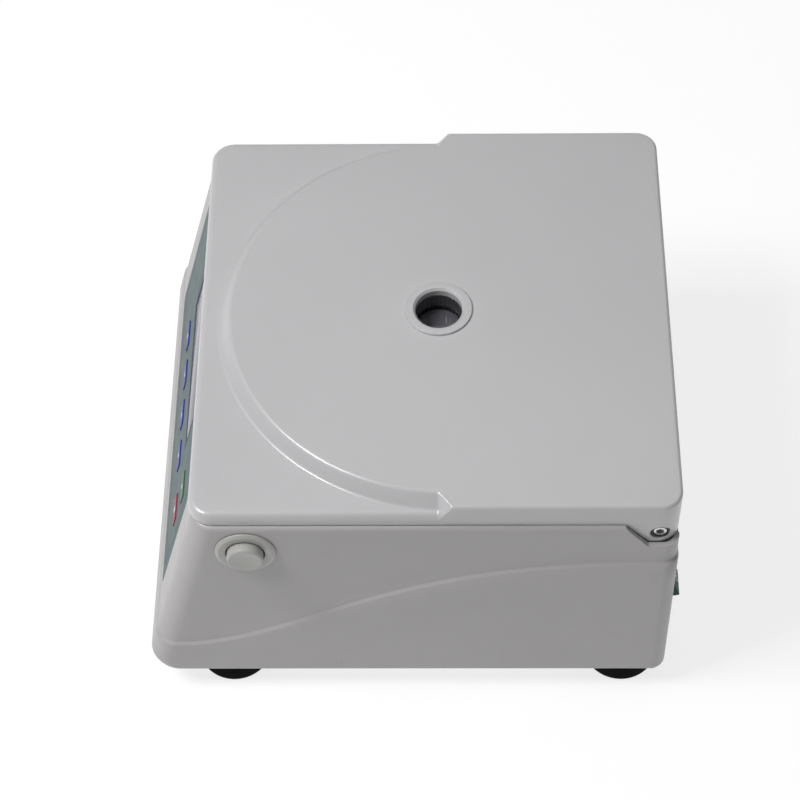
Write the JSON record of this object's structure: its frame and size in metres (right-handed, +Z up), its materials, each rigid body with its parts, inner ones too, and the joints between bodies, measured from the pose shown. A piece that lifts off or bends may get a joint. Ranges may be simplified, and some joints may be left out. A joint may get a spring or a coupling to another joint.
{
  "type": "benchtop centrifuge",
  "caption": "Benchtop laboratory centrifuge: moulded case with sloped control panel, hinged lid with round view port, side release button, angle rotor in a steel bowl, suction feet.",
  "frame": {"origin": "on the bench, under the middle of the bounding box", "axes": "+Z up, +X to the user's right (release button side), -Y towards the user (control panel), +Y towards the hinge"},
  "size_m": [0.3278, 0.3458, 0.1964],
  "materials": {
    "case_white": "satin moulded",
    "trim_white": "satin",
    "black_plastic": "satin",
    "foot_rubber": "matte",
    "seal_rubber": "matte",
    "bowl_steel": "brushed",
    "fastener_steel": "bright",
    "zinc_plate": "zinc plated",
    "motor_aluminium": "cast",
    "rotor_aluminium": "anodised",
    "panel_film": "printed film",
    "display_glass": "gloss",
    "port_glass": "clear",
    "key_blue": "satin",
    "key_green": "satin",
    "key_red": "satin",
    "rocker_green": "gloss",
    "circuit_board": "solder mask",
    "cable_sheath": "satin"
  },
  "bodies": {
    "base": {"base_housing": "case_white", "base_plate": "zinc_plate", "suction_foot_front_left": "foot_rubber", "suction_foot_front_right": "foot_rubber", "suction_foot_rear_left": "foot_rubber", "suction_foot_rear_right": "foot_rubber", "chamber_bowl": "bowl_steel", "chamber_gasket": "seal_rubber", "shaft_boot": "seal_rubber", "motor_housing": "motor_aluminium", "motor_plate": "zinc_plate", "vibration_mount_1": "seal_rubber", "vibration_mount_2": "seal_rubber", "vibration_mount_3": "seal_rubber", "hinge_channel": "zinc_plate", "hinge_bracket_left": "zinc_plate", "hinge_bracket_right": "zinc_plate", "hinge_bush_left": "black_plastic", "hinge_bush_right": "black_plastic", "hinge_screw_left": "fastener_steel", "hinge_screw_right": "fastener_steel", "release_bezel": "trim_white", "latch_bracket": "zinc_plate", "release_spring": "fastener_steel", "lid_switch": "black_plastic", "control_panel": "panel_film", "lcd_window": "display_glass", "display_board": "circuit_board", "display_lead": "cable_sheath", "drive_board": "circuit_board", "transformer": "zinc_plate", "mains_lead": "cable_sheath", "motor_lead": "cable_sheath", "rear_panel": "case_white", "power_inlet": "black_plastic", "inlet_pins": "black_plastic", "fuse_holder": "black_plastic", "rocker_housing": "black_plastic"},
    "lid": {"lid_shell": "case_white", "lid_liner": "bowl_steel", "viewport_ring": "trim_white", "viewport_sleeve": "black_plastic", "viewport_window": "port_glass", "lid_striker": "zinc_plate", "lid_screw_1": "fastener_steel", "lid_screw_2": "fastener_steel", "lid_screw_3": "fastener_steel", "lid_screw_4": "fastener_steel"},
    "rotor": {"rotor": "rotor_aluminium", "rotor_nut": "black_plastic", "drive_shaft": "fastener_steel"},
    "release": {"release_button": "trim_white", "latch_slider": "zinc_plate"},
    "rocker": {"power_rocker": "rocker_green"},
    "key_1": {"key_1": "key_blue"},
    "key_2": {"key_2": "key_blue"},
    "key_3": {"key_3": "key_blue"},
    "key_4": {"key_4": "key_blue"},
    "key_start": {"key_start": "key_green"},
    "key_stop": {"key_stop": "key_red"}
  },
  "joints": [
    {"name": "lid_hinge", "type": "hinge", "parent": "base", "child": "lid", "pos_m": [0, 0.15065, 0.1675], "axis": [-1, 0, 0], "range_deg": [0, 78]},
    {"name": "rotor_spin", "type": "hinge", "parent": "base", "child": "rotor", "pos_m": [0, 0.01645, 0.1], "axis": [0, 0, 1], "continuous": true},
    {"name": "release_press", "type": "slide", "parent": "base", "child": "release", "axis": [-1, 0, 0], "range_m": [0, 0.004], "stiffness_N_per_m": 600, "springref_m": -0.004},
    {"name": "power_rocker_tilt", "type": "hinge", "parent": "base", "child": "rocker", "pos_m": [0.12, 0.16725, 0.069], "axis": [-1, 0, 0], "range_deg": [0, 24]},
    {"name": "key_1_press", "type": "slide", "parent": "base", "child": "key_1", "axis": [0, 0.969, -0.247], "range_m": [0, 0.0005], "stiffness_N_per_m": 800, "springref_m": -0.0008},
    {"name": "key_2_press", "type": "slide", "parent": "base", "child": "key_2", "axis": [0, 0.969, -0.247], "range_m": [0, 0.0005], "stiffness_N_per_m": 800, "springref_m": -0.0008},
    {"name": "key_3_press", "type": "slide", "parent": "base", "child": "key_3", "axis": [0, 0.969, -0.247], "range_m": [0, 0.0005], "stiffness_N_per_m": 800, "springref_m": -0.0008},
    {"name": "key_4_press", "type": "slide", "parent": "base", "child": "key_4", "axis": [0, 0.969, -0.247], "range_m": [0, 0.0005], "stiffness_N_per_m": 800, "springref_m": -0.0008},
    {"name": "key_start_press", "type": "slide", "parent": "base", "child": "key_start", "axis": [0, 0.969, -0.247], "range_m": [0, 0.0005], "stiffness_N_per_m": 800, "springref_m": -0.0008},
    {"name": "key_stop_press", "type": "slide", "parent": "base", "child": "key_stop", "axis": [0, 0.969, -0.247], "range_m": [0, 0.0005], "stiffness_N_per_m": 800, "springref_m": -0.0008}
  ]
}
